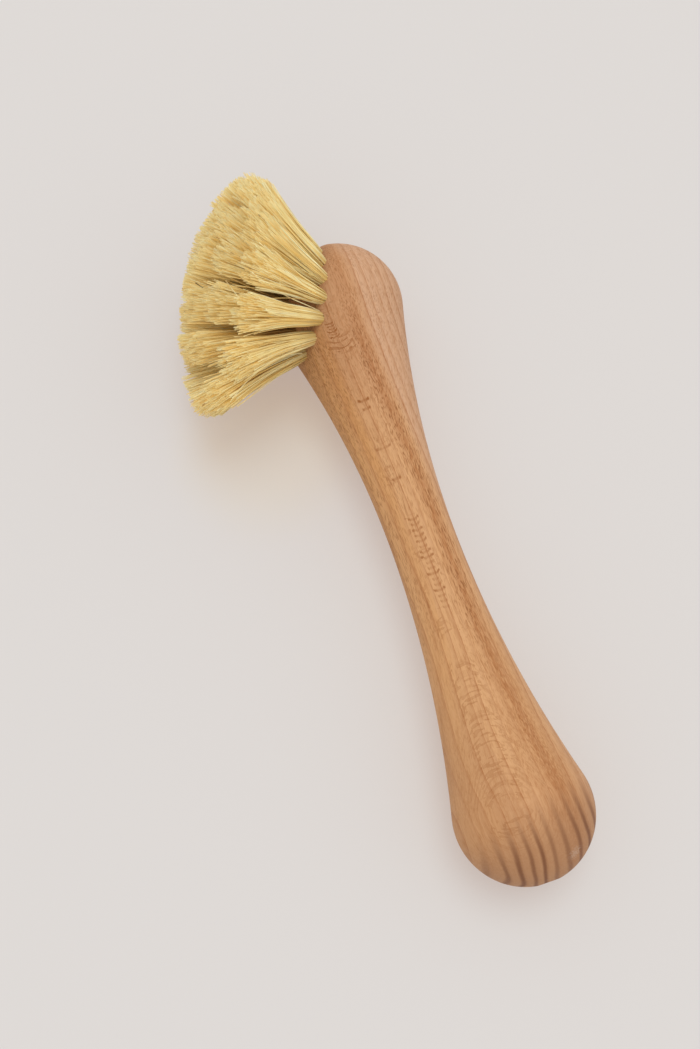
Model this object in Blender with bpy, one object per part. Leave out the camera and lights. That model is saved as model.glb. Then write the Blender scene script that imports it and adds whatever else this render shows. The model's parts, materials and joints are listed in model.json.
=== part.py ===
"""Dish brush with one turned beech body and tufts of plant fibre.

The body is turned in one piece: a head bulb, a slim waist and a butt ball. The head
bulb is ground to a low dome that looks forwards and sideways. Holes are drilled square
to that dome, so that they fan out. Each hole holds a bundle of fibres, folded in two
over a short piece of flat wire whose ends bite into the wood.

The brush lies on its side as it was put down: on the ball, on the head and on the tips
of its lowest fibres. +Y is the handle's axis, towards the head, and +Z is up. The
origin is below the middle of the whole brush, on the surface it lies on.
"""
import math
from collections import namedtuple

import bmesh
import bpy
from mathutils import Matrix, Vector

# Turned body
BODY_LENGTH = 0.2158
BULB_RADIUS = 0.0215
WAIST_RADIUS = 0.0105
WAIST_FROM_HEAD = 0.1053
BUTT_FLAT_RADIUS = 0.0034
BODY_SIDES = 48
BULB_STEPS = 8
NECK_STEPS = 9

# Domed face of the head
FACE_ANGLE = math.radians(67)
FACE_DOME_RADIUS = 0.0368
FACE_DEPTH = 0.0046
FACE_SHIFT = 0.0017
FACE_SPARE = 0.0013
FACE_SIDES = 40
FACE_STEPS = 8

# Drilled holes, the same for every tuft
HOLE_RADIUS = 0.00225
HOLE_DEPTH = 0.008
HOLE_SIDES = 10

# Rings of tufts. A ring's place is its distance from the middle of the face along the
# dome. The ends of its tufts have half a depth towards the middle and half a width round
# the ring, and its wires lie towards the middle or round the ring.
OUTER_RING = 0.0172
MIDDLE_RING = 0.0106
INNER_RING = 0.0042
OUTER_END_HALF_DEPTH = 0.0058
OUTER_END_HALF_WIDTH = 0.0058
MIDDLE_END_HALF_DEPTH = 0.0059
MIDDLE_END_HALF_WIDTH = 0.0066
INNER_END_HALF_DEPTH = 0.0066
INNER_END_HALF_WIDTH = 0.0066
Ring = namedtuple("Ring", "name count place half_depth half_width wires_lie")
RINGS = (
    Ring("outer", 16, OUTER_RING, OUTER_END_HALF_DEPTH, OUTER_END_HALF_WIDTH, "inwards"),
    Ring("middle", 9, MIDDLE_RING, MIDDLE_END_HALF_DEPTH, MIDDLE_END_HALF_WIDTH, "around"),
    Ring("inner", 3, INNER_RING, INNER_END_HALF_DEPTH, INNER_END_HALF_WIDTH, "around"),
)

# Share by which the rings are drawn out towards the waist, and how many times as far
# as its hole a tuft's end leans from the middle of the face
RING_STRETCH = 0.12
END_SPREAD = 1.49

# Fibres
TRIM_RADIUS = 0.0533
STRANDS_PER_TUFT = 14
STRAND_SIDES = 3
STRAND_RADIUS = 0.00033
STRAND_TIP_RADIUS = 0.00028
ROOT_STAND = 0.0012
ROOT_OVERLAP = 0.0008
FOLD_THICKNESS = 0.001
FLARE_SHARE = 0.35
EDGE_WALL = 0.00006

# Flat wire that holds each bundle
WIRE_THICKNESS = 0.0004
WIRE_WIDTH = 0.0018
WIRE_BITE = 0.00035

# Clearance between neighbours, and how far a cutter passes the surface it opens
GAP = 0.0003
OVERRUN = 0.006

GOLDEN_ANGLE = math.pi * (3 - math.sqrt(5))
SMOOTH_ANGLE = math.radians(30)

# Places along the turning axis, from the middle of the head bulb, towards the head
WAIST_PLACE = BULB_RADIUS - WAIST_FROM_HEAD
BALL_PLACE = BULB_RADIUS - BODY_LENGTH + math.sqrt(BULB_RADIUS**2 - BUTT_FLAT_RADIUS**2)
FACE_REACH = BULB_RADIUS + FACE_SPARE
DOME_TO_TRIM = FACE_DOME_RADIUS - (BULB_RADIUS - FACE_DEPTH)
HOLE_FLOOR = FACE_DOME_RADIUS - HOLE_DEPTH
WIRE_FLOOR = HOLE_FLOOR + GAP + FOLD_THICKNESS + GAP
ROOT_RADIUS = HOLE_RADIUS - GAP


def material(name, colour, roughness, metallic):
    """One Principled material."""
    mat = bpy.data.materials.new(name)
    mat.use_nodes = True
    shader = mat.node_tree.nodes["Principled BSDF"]
    shader.inputs["Base Color"].default_value = (*colour, 1)
    shader.inputs["Roughness"].default_value = roughness
    shader.inputs["Metallic"].default_value = metallic
    return mat


def add_object(name, mesh, parent=None, mat=None):
    """Put a mesh, or an empty when there is none, into the scene."""
    obj = bpy.data.objects.new(name, mesh)
    bpy.context.scene.collection.objects.link(obj)
    obj.parent = parent
    if mat:
        mesh.materials.clear()
        mesh.materials.append(mat)
    return obj


def finish_mesh(bm, name):
    """Turn a bmesh into a smooth shaded mesh with its faces pointing out."""
    bmesh.ops.recalc_face_normals(bm, faces=bm.faces)
    mesh = bpy.data.meshes.new(name)
    bm.to_mesh(mesh)
    bm.free()
    mesh.shade_smooth()
    mesh.set_sharp_from_angle(angle=SMOOTH_ANGLE)
    return mesh


def make_cutter(name, mesh, parent):
    """A hidden solid that only cuts another."""
    obj = add_object(name, mesh, parent)
    obj.hide_render = True
    obj.display_type = "WIRE"
    return obj


def cut(obj, cutter, operation="DIFFERENCE"):
    """Cut one object by another, or join them."""
    mod = obj.modifiers.new(cutter.name, "BOOLEAN")
    mod.operation = operation
    mod.object = cutter
    mod.solver = "EXACT"


def turned(name, outline, sides):
    """Spin an outline of (radius, height) points about Z into a closed solid."""
    bm = bmesh.new()
    verts = [bm.verts.new((radius, 0, height)) for radius, height in outline]
    edges = [bm.edges.new(pair) for pair in zip(verts, verts[1:])]
    bmesh.ops.spin(bm, geom=verts + edges, cent=(0, 0, 0), axis=(0, 0, 1),
                   angle=math.tau, steps=sides, use_merge=True)
    bmesh.ops.remove_doubles(bm, verts=bm.verts, dist=EDGE_WALL)
    return finish_mesh(bm, name)


def arc(centre_radius, centre_height, radius, start, end, steps):
    """Points (radius, height) along an arc. Angles run from the outward direction."""
    turns = (start + (end - start) * i / steps for i in range(steps + 1))
    return [(centre_radius + radius * math.cos(a), centre_height + radius * math.sin(a))
            for a in turns]


def neck(bulb_place):
    """The hollow arc that runs level at the waist and touches a bulb.

    Returns the arc's own radius and how far it turns. It follows from the right
    triangle between the arc's middle, the bulb's middle and the waist.
    """
    reach = abs(bulb_place - WAIST_PLACE)
    arc_radius = ((reach**2 + WAIST_RADIUS**2 - BULB_RADIUS**2)
                  / (2 * (BULB_RADIUS - WAIST_RADIUS)))
    return arc_radius, math.asin(reach / (arc_radius + BULB_RADIUS))


def body_outline():
    """Outline of the turned body from the head's end to the butt's flat."""
    head_arc, head_turn = neck(0)
    ball_arc, ball_turn = neck(BALL_PLACE)
    butt_turn = math.acos(BUTT_FLAT_RADIUS / BULB_RADIUS)
    points = arc(0, 0, BULB_RADIUS, math.pi / 2, -head_turn, BULB_STEPS + 1)
    points[0] = (0, BULB_RADIUS)
    points += arc(WAIST_RADIUS + head_arc, WAIST_PLACE, head_arc,
                  math.pi - head_turn, math.pi, NECK_STEPS)[1:]
    points += arc(WAIST_RADIUS + ball_arc, WAIST_PLACE, ball_arc,
                  math.pi, math.pi + ball_turn, NECK_STEPS)[1:]
    points += arc(0, BALL_PLACE, BULB_RADIUS, ball_turn, -butt_turn, BULB_STEPS + 1)[1:]
    points.append((0, points[-1][1]))
    return points


def face_cutter_mesh():
    """Everything that is ground away above the domed face, about the face's own axis."""
    edge_angle = math.asin(FACE_REACH / FACE_DOME_RADIUS)
    outline = arc(0, 0, FACE_DOME_RADIUS, math.pi / 2, math.pi / 2 - edge_angle,
                  FACE_STEPS)
    outline[0] = (0, FACE_DOME_RADIUS)
    rim_height = outline[-1][1]
    far_radius = FACE_REACH + OVERRUN
    far_height = FACE_DOME_RADIUS + OVERRUN
    outline += [(far_radius, rim_height), (far_radius, far_height), (0, far_height)]
    return turned("face_cutter", outline, FACE_SIDES)


def add_prism(bm, sides, radius, low, high):
    """An upright prism with this many sides, whose axis is Z."""
    prism = bmesh.ops.create_cone(bm, cap_ends=True, segments=sides, radius1=radius,
                                  radius2=radius, depth=high - low)
    bmesh.ops.translate(bm, verts=prism["verts"], vec=(0, 0, (low + high) / 2))
    return prism["verts"]


def add_block(bm, size, middle_height):
    """A box of these three sizes, centred on Z at a height."""
    block = bmesh.ops.create_cube(bm, size=1)
    bmesh.ops.scale(bm, verts=block["verts"], vec=size)
    bmesh.ops.translate(bm, verts=block["verts"], vec=(0, 0, middle_height))
    return block["verts"]


def hole_lean(ring):
    """How far a ring's holes lean from the face's axis, square to the dome."""
    return ring.place / FACE_DOME_RADIUS


def tuft_places():
    """Every tuft: its ring, its number in the ring, and its turn from the face's axis."""
    for ring in RINGS:
        for number in range(ring.count):
            azimuth = math.tau * number / ring.count
            stretch = RING_STRETCH * max(0, math.cos(azimuth))**2
            turn = Matrix.Rotation(azimuth, 4, "Z")
            turn = turn @ Matrix.Rotation(hole_lean(ring) * (1 + stretch), 4, "Y")
            yield ring, f"{ring.name}_{{}}_{number + 1:02d}", turn


def wire_size(direction, spare):
    """The wire's three sizes with a spare width all round."""
    length = 2 * (HOLE_RADIUS + WIRE_BITE + spare)
    thickness = WIRE_THICKNESS + 2 * spare
    width = WIRE_WIDTH + 2 * spare
    if direction == "inwards":
        return (length, thickness, width)
    return (thickness, length, width)


def cutters_for_holes(parent):
    """One cutter with every drilled hole, and one with every bed of a wire."""
    holes = bmesh.new()
    beds = bmesh.new()
    for ring, _, turn in tuft_places():
        verts = add_prism(holes, HOLE_SIDES, HOLE_RADIUS, HOLE_FLOOR,
                          FACE_DOME_RADIUS + OVERRUN)
        bmesh.ops.transform(holes, matrix=turn, verts=verts)
        verts = add_block(beds, wire_size(ring.wires_lie, GAP), WIRE_FLOOR + WIRE_WIDTH / 2)
        bmesh.ops.transform(beds, matrix=turn, verts=verts)
    return (make_cutter("hole_cutter", finish_mesh(holes, "hole_cutter"), parent),
            make_cutter("wire_bed_cutter", finish_mesh(beds, "wire_bed_cutter"), parent))


def strand_points(ring, number):
    """Start, middle and end of one strand, in the frame of its hole.

    The starts fill the root like the seeds of a sunflower. The ends fill an oval of the
    trimmed surface in the same order, so no strand crosses another.
    """
    spread = math.sqrt((number + 0.5) / STRANDS_PER_TUFT)
    across = spread * math.cos(number * GOLDEN_ANGLE)
    along = spread * math.sin(number * GOLDEN_ANGLE)
    inscribed = ROOT_RADIUS * math.cos(math.pi / HOLE_SIDES)
    seat = inscribed - STRAND_RADIUS - EDGE_WALL
    root_top = FACE_DOME_RADIUS + ROOT_STAND
    start = Vector((seat * across, seat * along, root_top - ROOT_OVERLAP))

    end_angle = hole_lean(ring) * END_SPREAD
    outward = Vector((math.sin(end_angle), 0, math.cos(end_angle)))
    towards_edge = Vector((math.cos(end_angle), 0, -math.sin(end_angle)))
    around = Vector((0, 1, 0))
    aim = outward * TRIM_RADIUS + towards_edge * ring.half_depth * across
    aim += around * ring.half_width * along
    end = Vector((0, 0, DOME_TO_TRIM)) + aim.normalized() * TRIM_RADIUS
    end.rotate(Matrix.Rotation(-hole_lean(ring), 3, "Y"))

    handle_height = (start.z + end.z) / 2
    flare = start.lerp(end, FLARE_SHARE)
    handle_point = Vector((flare.x, flare.y, handle_height))
    middle = (start + 2 * handle_point + end) / 4
    return start, middle, end


def tuft_mesh(ring):
    """A bundle of one ring: the folded root, its tunnel for the wire, and its strands."""
    name = ring.name
    root = bmesh.new()
    add_prism(root, HOLE_SIDES, ROOT_RADIUS, HOLE_FLOOR + GAP,
              FACE_DOME_RADIUS + ROOT_STAND)
    root_object = add_object(f"{name}_root", finish_mesh(root, f"{name}_root"))

    tunnel = bmesh.new()
    size = wire_size(ring.wires_lie, GAP)
    add_block(tunnel, size, WIRE_FLOOR + WIRE_WIDTH / 2)
    tunnel_object = make_cutter(f"{name}_tunnel", finish_mesh(tunnel, name), None)

    strands = bmesh.new()
    for number in range(STRANDS_PER_TUFT):
        points = strand_points(ring, number)
        radii = (STRAND_RADIUS, STRAND_RADIUS, STRAND_TIP_RADIUS)
        loops = []
        for point, radius in zip(points, radii):
            corners = [number * GOLDEN_ANGLE + math.tau * side / STRAND_SIDES
                       for side in range(STRAND_SIDES)]
            loops.append([strands.verts.new(
                point + Vector((radius * math.cos(a), radius * math.sin(a), 0)))
                for a in corners])
        strands.faces.new(loops[0][::-1])
        strands.faces.new(loops[-1])
        for low, high in zip(loops, loops[1:]):
            for side in range(STRAND_SIDES):
                after = (side + 1) % STRAND_SIDES
                strands.faces.new((low[side], low[after], high[after], high[side]))
    strands_object = make_cutter(f"{name}_strands", finish_mesh(strands, name), None)

    cut(root_object, tunnel_object)
    cut(root_object, strands_object, "UNION")
    graph = bpy.context.evaluated_depsgraph_get()
    mesh = bpy.data.meshes.new_from_object(root_object.evaluated_get(graph))
    mesh.name = f"{name}_tuft"
    for obj in (root_object, tunnel_object, strands_object):
        bpy.data.objects.remove(obj)
    return mesh


def wire_mesh(ring):
    """The short flat wire of one ring."""
    bm = bmesh.new()
    add_block(bm, wire_size(ring.wires_lie, 0), WIRE_FLOOR + WIRE_WIDTH / 2)
    return finish_mesh(bm, f"{ring.name}_wire")


def brush_frame():
    """The brush as it lies: rolled about its axis until the lowest fibres touch.

    The roll lifts the face's axis until the edge of the fan reaches as far down as the
    bulbs do.
    """
    outer = RINGS[0]
    fan_angle = (hole_lean(outer) * END_SPREAD
                 + math.asin(OUTER_END_HALF_DEPTH / TRIM_RADIUS))
    lift = fan_angle - math.asin(BULB_RADIUS / TRIM_RADIUS)
    roll = math.asin(math.sin(lift) / math.sin(FACE_ANGLE))
    frame = add_object("brush", None)
    frame.rotation_euler = (-math.pi / 2, roll, 0)
    return frame


def face_frame(parent):
    """Middle of the dome's sphere. Its Z is the face's axis, its X is towards the butt."""
    frame = add_object("face", None, parent)
    axis = Vector((-math.sin(FACE_ANGLE), 0, math.cos(FACE_ANGLE)))
    to_butt = Vector((-math.cos(FACE_ANGLE), 0, -math.sin(FACE_ANGLE)))
    turn = Matrix((to_butt, axis.cross(to_butt), axis)).transposed()
    frame.location = to_butt * FACE_SHIFT - axis * DOME_TO_TRIM
    frame.rotation_euler = turn.to_euler()
    return frame


def settle(frame):
    """Move the brush so that its box stands on the origin."""
    bpy.context.view_layer.update()
    graph = bpy.context.evaluated_depsgraph_get()
    corners = []
    for obj in bpy.context.scene.objects:
        if obj.type == "MESH" and not obj.hide_render:
            solid = obj.evaluated_get(graph)
            corners += [solid.matrix_world @ v.co for v in solid.data.vertices]
    low = [min(corner[i] for corner in corners) for i in range(3)]
    high = [max(corner[i] for corner in corners) for i in range(3)]
    frame.location = (-(low[0] + high[0]) / 2, -(low[1] + high[1]) / 2, -low[2])


def main():
    for obj in list(bpy.data.objects):
        bpy.data.objects.remove(obj, do_unlink=True)

    beech = material("beech", (0.58, 0.31, 0.16), 0.62, 0)
    fibre = material("plant_fibre", (0.74, 0.56, 0.25), 0.7, 0)
    steel = material("flat_steel_wire", (0.62, 0.6, 0.56), 0.35, 1)

    frame = brush_frame()
    face = face_frame(frame)

    body = add_object("turned_body", turned("turned_body", body_outline(), BODY_SIDES),
                      frame, beech)
    cut(body, make_cutter("face_cutter", face_cutter_mesh(), face))
    for cutter in cutters_for_holes(face):
        cut(body, cutter)

    tufts = {ring.name: tuft_mesh(ring) for ring in RINGS}
    wires = {ring.name: wire_mesh(ring) for ring in RINGS}
    for ring, name, turn in tuft_places():
        tuft = add_object(name.format("tuft"), tufts[ring.name], face, fibre)
        wire = add_object(name.format("wire"), wires[ring.name], face, steel)
        tuft.rotation_euler = turn.to_euler()
        wire.rotation_euler = turn.to_euler()

    settle(frame)


main()
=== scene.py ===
import json
import math

import bpy
import numpy as np
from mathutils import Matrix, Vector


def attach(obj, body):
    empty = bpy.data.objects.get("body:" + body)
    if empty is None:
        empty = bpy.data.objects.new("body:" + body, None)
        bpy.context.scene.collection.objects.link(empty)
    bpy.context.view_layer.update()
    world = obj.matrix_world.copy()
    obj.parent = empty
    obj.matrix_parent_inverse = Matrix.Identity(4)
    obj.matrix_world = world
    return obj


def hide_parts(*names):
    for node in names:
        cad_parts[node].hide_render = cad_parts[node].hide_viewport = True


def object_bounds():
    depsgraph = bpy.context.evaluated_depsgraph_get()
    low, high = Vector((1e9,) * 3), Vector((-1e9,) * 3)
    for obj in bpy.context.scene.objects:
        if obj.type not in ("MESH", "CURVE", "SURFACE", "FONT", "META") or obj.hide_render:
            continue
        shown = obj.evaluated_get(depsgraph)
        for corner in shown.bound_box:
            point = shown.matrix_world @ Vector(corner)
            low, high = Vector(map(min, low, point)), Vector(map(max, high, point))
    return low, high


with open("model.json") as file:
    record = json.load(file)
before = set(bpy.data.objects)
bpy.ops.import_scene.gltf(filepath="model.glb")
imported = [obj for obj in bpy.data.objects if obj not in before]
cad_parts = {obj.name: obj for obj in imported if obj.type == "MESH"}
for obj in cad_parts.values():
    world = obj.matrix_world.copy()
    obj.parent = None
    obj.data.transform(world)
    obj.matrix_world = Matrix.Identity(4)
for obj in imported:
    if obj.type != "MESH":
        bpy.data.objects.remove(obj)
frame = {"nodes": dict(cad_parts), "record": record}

cadLow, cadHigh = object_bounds()
print("brush: frame loaded, the solids' box in mm is",
      [round((high - low) * 1000, 1) for low, high in zip(cadLow, cadHigh)])

# The turned body, in metres. Rows and around set how fine its surface is. Rays search
# for it over ray length times a bulb's radius, and halve that so many times.
bodyShape = {
    "length": 0.2158,
    "bulbRadius": 0.0215,
    "waistRadius": 0.0105,
    "waistFromHead": 0.1053,
    "buttFlatRadius": 0.0034,
    "around": 256,
    "headRows": 96,
    "shaftRows": 190,
    "ballRows": 60,
    "flatRows": 3,
    "rayLength": 1.1,
    "halvings": 34,
    "sharpFrom": math.radians(38),
}

# The ground dome of the head and the holes drilled square to it. The grinding takes off
# the depth, and the shift sets it towards the butt. Ring stretch spreads the rings that
# way, and end spread is how much wider the fibres' ends fan out than their roots.
faceShape = {
    "angle": math.radians(67),
    "domeRadius": 0.0368,
    "depth": 0.0046,
    "shift": 0.0017,
    "spare": 0.0013,
    "rimSoftness": 0.0016,
    "holeRadius": 0.00225,
    "holeDepth": 0.008,
    "holeSides": 28,
    "ringStretch": 0.12,
    "endSpread": 1.49,
}

# Rings of tufts: how many, how far from the middle of the face along the dome, and half
# the depth and width of the fan that a tuft's trimmed ends fill. The corner cut and
# shorter are shares of a fibre's length. Hidden is how much shade is painted on the
# fibres for being behind others.
tuftRings = {
    "outer": {"count": 16, "place": 0.0172, "halfDepth": 0.0058, "halfWidth": 0.0068,
              "cornerCut": 0.11, "hidden": 0.0, "shorter": 0.0},
    "middle": {"count": 9, "place": 0.0106, "halfDepth": 0.0059, "halfWidth": 0.0070,
               "cornerCut": 0.03, "hidden": 0.75, "shorter": 0.016},
    "inner": {"count": 3, "place": 0.0042, "halfDepth": 0.0066, "halfWidth": 0.0068,
              "cornerCut": 0.0, "hidden": 0.75, "shorter": 0.02},
}

# The fibres of one tuft. Longer, spread and scatter are shares, and wave turns are in
# radians. Past solids is how far fibres may pass the solids' box in -X. The cross way is
# one that no fibre runs. Outward and upward leans are of the shading alone.
fibreShape = {
    "count": 320,
    "sides": 3,
    "steps": 10,
    "radius": 0.00014,
    "tipRadius": 0.00011,
    "thickness": (0.75, 1.25),
    "crossWay": (0.31, 0.2, 0.93),
    "seatScatter": 0.25,
    "trimRadius": 0.0529,
    "rootDepth": 0.003,
    "swell": 0.0003,
    "swellRate": 2.2,
    "flareShare": 0.28,
    "clumps": 64,
    "clumpPull": 0.4,
    "clumpTint": 0.45,
    "clumpScatter": 0.09,
    "fibreScatter": 0.05,
    "wave": 0.0003,
    "waveTurns": (3, 8),
    "waveGrowth": 1.4,
    "lengthSpread": 0.018,
    "buttLean": math.radians(5.0),
    "headTuck": math.radians(1.4),
    "longerAtButt": 0.13,
    "longerAtHead": 0.07,
    "pastSolids": 0.0021,
    "strayShare": 0.06,
    "strayReach": 0.0030,
    "strayMost": 0.0050,
    "floorGap": 0.0001,
    "floorPile": 0.08,
    "outwardShare": 0.45,
    "outwardLean": (0.8, 0.3),
    "upwardLean": (0.8, 0.6),
    "seed": 41,
}


# places

alongHandle = np.array((0.0, 1.0, 0.0))


def unit(ways):
    return ways / np.linalg.norm(ways, axis=-1, keepdims=True)


def turnOver(angle):
    # a turn about Y that leans Z over towards X
    c, s = math.cos(angle), math.sin(angle)
    return np.array(((c, 0, s), (0, 1, 0), (-s, 0, c)))


def bodyPlaces():
    # the butt's flat is a mount of the record, and it lies on the turning axis
    flat = next(m for m in frame["record"]["mounts"] if m["name"] == "butt_flat")
    flatMiddle = np.array(flat["pos_m"])
    radius = bodyShape["bulbRadius"]
    ballFromFlat = math.sqrt(radius**2 - bodyShape["buttFlatRadius"]**2)
    head = flatMiddle + alongHandle * (bodyShape["length"] - radius)
    return head, flatMiddle + alongHandle * ballFromFlat, flatMiddle


def rollOfBrush():
    # the brush rolls until the fan's edge reaches as far down as the bulbs do
    trim = fibreShape["trimRadius"]
    outer = tuftRings["outer"]
    lean = outer["place"] / faceShape["domeRadius"] * faceShape["endSpread"]
    lift = (lean + math.asin(outer["halfDepth"] / trim)
            - math.asin(bodyShape["bulbRadius"] / trim))
    return math.asin(math.sin(lift) / math.sin(faceShape["angle"]))


def faceFrame(head):
    # columns are the way to the butt, the way across and the face's axis
    roll = rollOfBrush()
    sideways = np.array((-math.cos(roll), 0.0, math.sin(roll)))
    sine, cosine = math.sin(faceShape["angle"]), math.cos(faceShape["angle"])
    axis = sideways * sine + alongHandle * cosine
    toButt = sideways * cosine - alongHandle * sine
    turn = np.column_stack((toButt, np.cross(axis, toButt), axis))
    belowHead = faceShape["domeRadius"] - (bodyShape["bulbRadius"] - faceShape["depth"])
    return head + toButt * faceShape["shift"] - axis * belowHead, turn, belowHead


headMiddle, ballMiddle, buttMiddle = bodyPlaces()
domeMiddle, faceTurn, domeToTrim = faceFrame(headMiddle)


def tuftPlaces():
    # every tuft's node name, ring and turn: the face's turn, then round, then over
    for ringName, ring in tuftRings.items():
        lean = ring["place"] / faceShape["domeRadius"]
        for number in range(ring["count"]):
            circling = math.tau * number / ring["count"]
            over = lean * (1 + faceShape["ringStretch"] * max(0, math.cos(circling))**2)
            c, s = math.cos(circling), math.sin(circling)
            spin = np.array(((c, -s, 0), (s, c, 0), (0, 0, 1)))
            turn = faceTurn @ spin @ turnOver(over)
            yield f"{ringName}_tuft_{number + 1:02d}", ring, turn


# meshes

def meshFrom(name, points, quads, triangles, material):
    # points (n, 3), quads (m, 4) and triangles (k, 3) as whole arrays
    mesh = bpy.data.meshes.new(name)
    corners = np.concatenate((quads.ravel(), triangles.ravel())).astype(np.int32)
    starts = np.concatenate((np.arange(len(quads)) * 4,
                             len(quads) * 4 + np.arange(len(triangles)) * 3))
    mesh.vertices.add(len(points))
    mesh.vertices.foreach_set("co", points.astype(np.float32).ravel())
    mesh.loops.add(len(corners))
    mesh.loops.foreach_set("vertex_index", corners)
    mesh.polygons.add(len(starts))
    mesh.polygons.foreach_set("loop_start", starts.astype(np.int32))
    mesh.update(calc_edges=True)
    mesh.shade_smooth()
    if material:
        mesh.materials.append(material)
    return mesh


def placeInScene(name, mesh):
    piece = bpy.data.objects.new(name, mesh)
    bpy.context.scene.collection.objects.link(piece)
    return piece


def closedRows(rows, firstPole, lastPole):
    # rows (r, a, 3) are closed rings, joined ring to ring and closed to both poles. This
    # gives their points, quads and triangles
    count, around = rows.shape[:2]
    index = np.arange(count * around).reshape(count, around)
    after = np.roll(index, -1, axis=1)
    quads = np.stack((index[:-1], after[:-1], after[1:], index[1:]), -1).reshape(-1, 4)
    first, last = count * around, count * around + 1
    fan = np.stack((np.full(around, first), after[0], index[0]), -1)
    close = np.stack((np.full(around, last), index[-1], after[-1]), -1)
    points = np.concatenate((rows.reshape(-1, 3), [firstPole, lastPole]))
    return points, quads, np.concatenate((fan, close))


def softMaximum(a, b, width):
    # the larger of the two, and a little more where they are within the width
    near = np.maximum(width - np.abs(a - b), 0)
    return np.maximum(a, b) + near**2 / (4 * width)


def turnedDistance(points):
    # how far points lie outside the turned shape: bulb, hollow arc, hollow arc, ball.
    # Each arc runs level at the waist and touches its bulb
    radius, waist = bodyShape["bulbRadius"], bodyShape["waistRadius"]
    waistY = headMiddle[1] + radius - bodyShape["waistFromHead"]
    out = points - headMiddle
    radial = np.hypot(out[..., 0], out[..., 2])
    y = points[..., 1]
    made = np.zeros(radial.shape)
    for middle, side in ((headMiddle, 1), (ballMiddle, -1)):
        reach = abs(middle[1] - waistY)
        arc = (reach**2 + waist**2 - radius**2) / (2 * (radius - waist))
        touches = middle[1] - side * reach * radius / (arc + radius)
        along = np.clip(np.abs(y - waistY), 0, arc)
        neck = radial - (waist + arc - np.sqrt(arc**2 - along**2))
        bulb = np.linalg.norm(points - middle, axis=-1) - radius
        here = (y - waistY) * side >= 0
        past = (y - touches) * side >= 0
        made = np.where(here, np.where(past, bulb, neck), made)
    return made


def groundDistance(points):
    # how far points lie above the ground dome, which ends level beyond its reach
    local = (points - domeMiddle) @ faceTurn
    reach = bodyShape["bulbRadius"] + faceShape["spare"]
    outwards = np.minimum(np.hypot(local[..., 0], local[..., 1]), reach)
    return local[..., 2] - np.sqrt(faceShape["domeRadius"]**2 - outwards**2)


def bodySurface(material):
    # rays leave the axis: a fan at the head's middle, then square to the handle, then a
    # fan round the ball. Each ends where the two distances' soft maximum is 0, found by
    # halving
    shape = bodyShape
    buttTurn = math.acos(shape["buttFlatRadius"] / shape["bulbRadius"])
    headTurns = np.linspace(math.pi / 2, 0, shape["headRows"] + 1)[1:]
    shaftPlaces = np.linspace(headMiddle[1], ballMiddle[1], shape["shaftRows"] + 1)[1:-1]
    ballTurns = np.linspace(0, -buttTurn, shape["ballRows"] + 1)
    turns = np.concatenate((headTurns, np.zeros(len(shaftPlaces)), ballTurns))
    places = np.concatenate((np.full(len(headTurns), headMiddle[1]), shaftPlaces,
                             np.full(len(ballTurns), ballMiddle[1])))
    circle = np.linspace(0, math.tau, shape["around"], endpoint=False)
    ways = np.stack((np.cos(turns)[:, None] * np.cos(circle),
                     np.sin(turns)[:, None] * np.ones_like(circle),
                     np.cos(turns)[:, None] * np.sin(circle)), -1)
    starts = np.tile(headMiddle, (len(turns), 1))
    starts[:, 1] = places
    low = np.zeros(ways.shape[:2])
    high = np.full(ways.shape[:2], shape["bulbRadius"] * shape["rayLength"])
    for _ in range(shape["halvings"]):
        middle = (low + high) / 2
        points = starts[:, None] + ways * middle[..., None]
        outside = softMaximum(turnedDistance(points), groundDistance(points),
                              faceShape["rimSoftness"]) > 0
        high = np.where(outside, middle, high)
        low = np.where(outside, low, middle)
    rows = starts[:, None] + ways * low[..., None]
    shrink = np.linspace(1, 0, shape["flatRows"] + 1)[1:-1]
    flat = buttMiddle + (rows[-1] - buttMiddle) * shrink[:, None, None]
    headEnd = headMiddle + (0, shape["bulbRadius"], 0)
    parts = closedRows(np.concatenate((rows, flat)), headEnd, buttMiddle)
    return meshFrom("beech_body", *parts, material)


def holeCutter():
    # an upright drum at each tuft's place, from the hole's floor to clear of the wood
    circle = np.linspace(0, math.tau, faceShape["holeSides"], endpoint=False)
    rim = np.stack((np.cos(circle), np.sin(circle), np.zeros_like(circle)), -1)
    rim = rim * faceShape["holeRadius"]
    top = np.array((0, 0, faceShape["domeRadius"] + faceShape["holeDepth"]))
    floor = np.array((0, 0, faceShape["domeRadius"] - faceShape["holeDepth"]))
    drum, *faces = closedRows(np.stack((rim + top, rim + floor)), top, floor)
    # rows that run down give faces that look inwards, so they are turned round
    quads, triangles = (np.roll(face[:, ::-1], 1, axis=1) for face in faces)
    turns = [turn for _, _, turn in tuftPlaces()]
    points = np.concatenate([drum @ turn.T + domeMiddle for turn in turns])
    corners = np.arange(len(turns))[:, None, None] * len(drum)
    mesh = meshFrom("holes", points, (quads + corners).reshape(-1, 4),
                    (triangles + corners).reshape(-1, 3), None)
    return placeInScene("holes", mesh)


def makeBody(material):
    # the surface less the holes, as one mesh
    piece = placeInScene("beech_body", bodySurface(material))
    cutter = holeCutter()
    drill = piece.modifiers.new("drill", "BOOLEAN")
    drill.operation = "DIFFERENCE"
    drill.object = cutter
    drill.solver = "MANIFOLD"
    bpy.context.view_layer.update()
    graph = bpy.context.evaluated_depsgraph_get()
    drilled = bpy.data.meshes.new_from_object(piece.evaluated_get(graph))
    piece.modifiers.clear()
    piece.data = drilled
    bpy.data.objects.remove(cutter)
    drilled.shade_smooth()
    drilled.set_sharp_from_angle(angle=bodyShape["sharpFrom"])
    drilled.materials.clear()
    drilled.materials.append(material)
    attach(piece, "root")
    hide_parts("turned_body")
    print("brush: body drilled,", len(drilled.polygons), "faces")


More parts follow.
